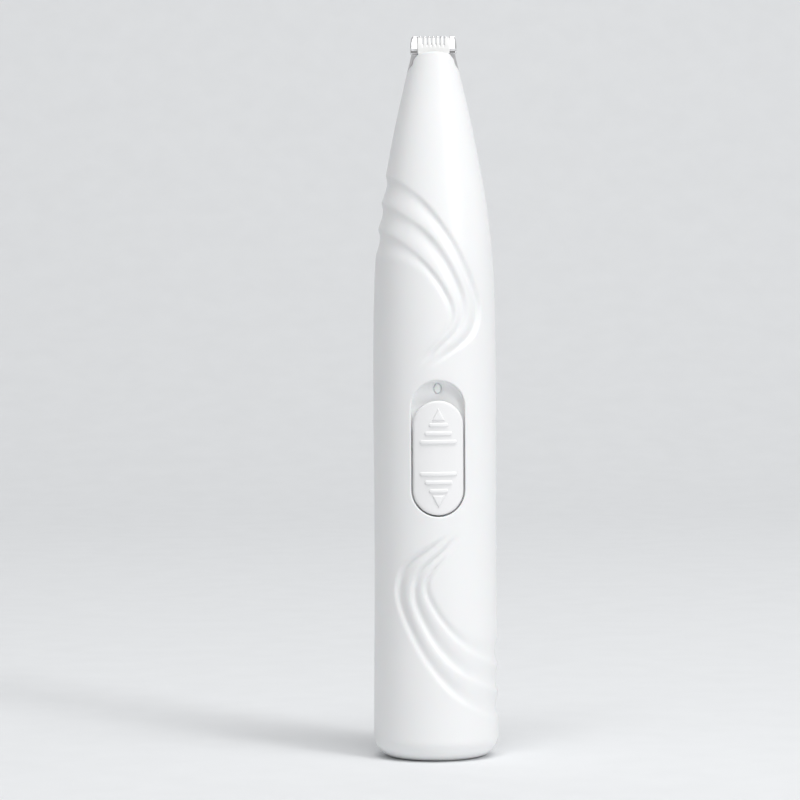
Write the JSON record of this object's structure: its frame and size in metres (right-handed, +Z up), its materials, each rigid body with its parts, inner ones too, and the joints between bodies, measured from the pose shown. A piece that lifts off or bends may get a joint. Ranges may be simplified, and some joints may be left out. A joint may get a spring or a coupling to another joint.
{
  "type": "pet paw hair trimmer",
  "caption": "Pen-shaped cordless trimmer for the hair between a pet's paw pads, with a narrow toothed blade head and a thumb slide switch.",
  "frame": {"origin": "centre of the flat base that the trimmer stands on", "axes": "+Z up the body to the blades, -Y out of the front face with the slide button, +X to the right seen from the front"},
  "size_m": [0.026, 0.0246, 0.15],
  "materials": {
    "shell_white": "satin moulded plastic with a soft gloss",
    "button_white": "satin moulded plastic",
    "blade_ceramic": "fine ground white ceramic",
    "blade_steel": "polished stainless steel",
    "seat_steel": "brushed stainless steel",
    "spring_steel": "bright spring steel",
    "screw_steel": "bright zinc plated steel",
    "socket_steel": "nickel plated steel",
    "motor_steel": "plain rolled steel",
    "switch_metal": "tinned steel",
    "nickel": "nickel strip",
    "bronze": "sintered bronze",
    "copper": "enamelled copper wire",
    "magnet": "sintered ferrite",
    "board_green": "solder mask over glass fibre",
    "part_ceramic": "small fired components",
    "chip_black": "black moulded plastic",
    "inner_plastic": "natural acetal",
    "rubber_black": "soft matt rubber",
    "cell_wrap": "shrink wrap",
    "wire_red": "soft insulation",
    "wire_black": "soft insulation",
    "clear_plastic": "clear acrylic",
    "lens_clear": "milky clear acrylic",
    "led_white": "phosphor in clear resin"
  },
  "bodies": {
    "root": {"front_shell": "shell_white", "rear_shell": "shell_white", "shell_screws": "screw_steel", "switch_body": "switch_metal", "circuit_board": "board_green", "board_parts": "part_ceramic", "charge_chip": "chip_black", "light_guide": "clear_plastic", "indicator_lens": "lens_clear", "status_led": "led_white", "charging_socket": "socket_steel", "socket_tongue": "chip_black", "charging_board": "board_green", "battery_cell": "cell_wrap", "battery_rings": "chip_black", "battery_tab_positive": "nickel", "battery_tab_negative": "nickel", "battery_wire_red": "wire_red", "battery_wire_black": "wire_black", "charge_wire_red": "wire_red", "charge_wire_black": "wire_black", "motor_wire_red": "wire_red", "motor_wire_black": "wire_black", "motor_can": "motor_steel", "motor_end_cap": "chip_black", "motor_bearing_front": "bronze", "motor_bearing_rear": "bronze", "motor_terminals": "bronze", "motor_brushes": "bronze", "motor_magnets": "magnet", "motor_damper": "rubber_black", "rocker_pin": "screw_steel", "blade_seat": "seat_steel", "fixed_blade": "blade_steel", "blade_spring": "spring_steel", "blade_screws": "screw_steel"},
    "switch": {"slide_button": "button_white", "switch_carrier": "inner_plastic", "switch_lever": "chip_black"},
    "rotor": {"rotor_shaft": "screw_steel", "armature_core": "motor_steel", "armature_windings": "copper", "commutator": "bronze", "eccentric_cam": "inner_plastic"},
    "rocker": {"rocker_arm": "inner_plastic"},
    "blade": {"moving_blade": "blade_ceramic", "blade_driver": "inner_plastic"}
  },
  "joints": [
    {"name": "button_slide", "type": "slide", "parent": "root", "child": "switch", "axis": [0, 0, 1], "range_m": [0, 0.004]},
    {"name": "rotor_spin", "type": "hinge", "parent": "root", "child": "rotor", "pos_m": [0, 0, 0.102], "axis": [0, 0, 1], "continuous": true},
    {"name": "rocker_swing", "type": "hinge", "parent": "root", "child": "rocker", "pos_m": [0, 0, 0.131], "axis": [0, 1, 0], "range_deg": [-3.6, 3.6]},
    {"name": "blade_stroke", "type": "slide", "parent": "root", "child": "blade", "axis": [1, 0, 0], "range_m": [-0.00075, 0.00075]}
  ],
  "couplings": [
    {"joint": "rocker_swing", "follows": "blade_stroke", "rad_per_m": 83.333}
  ]
}
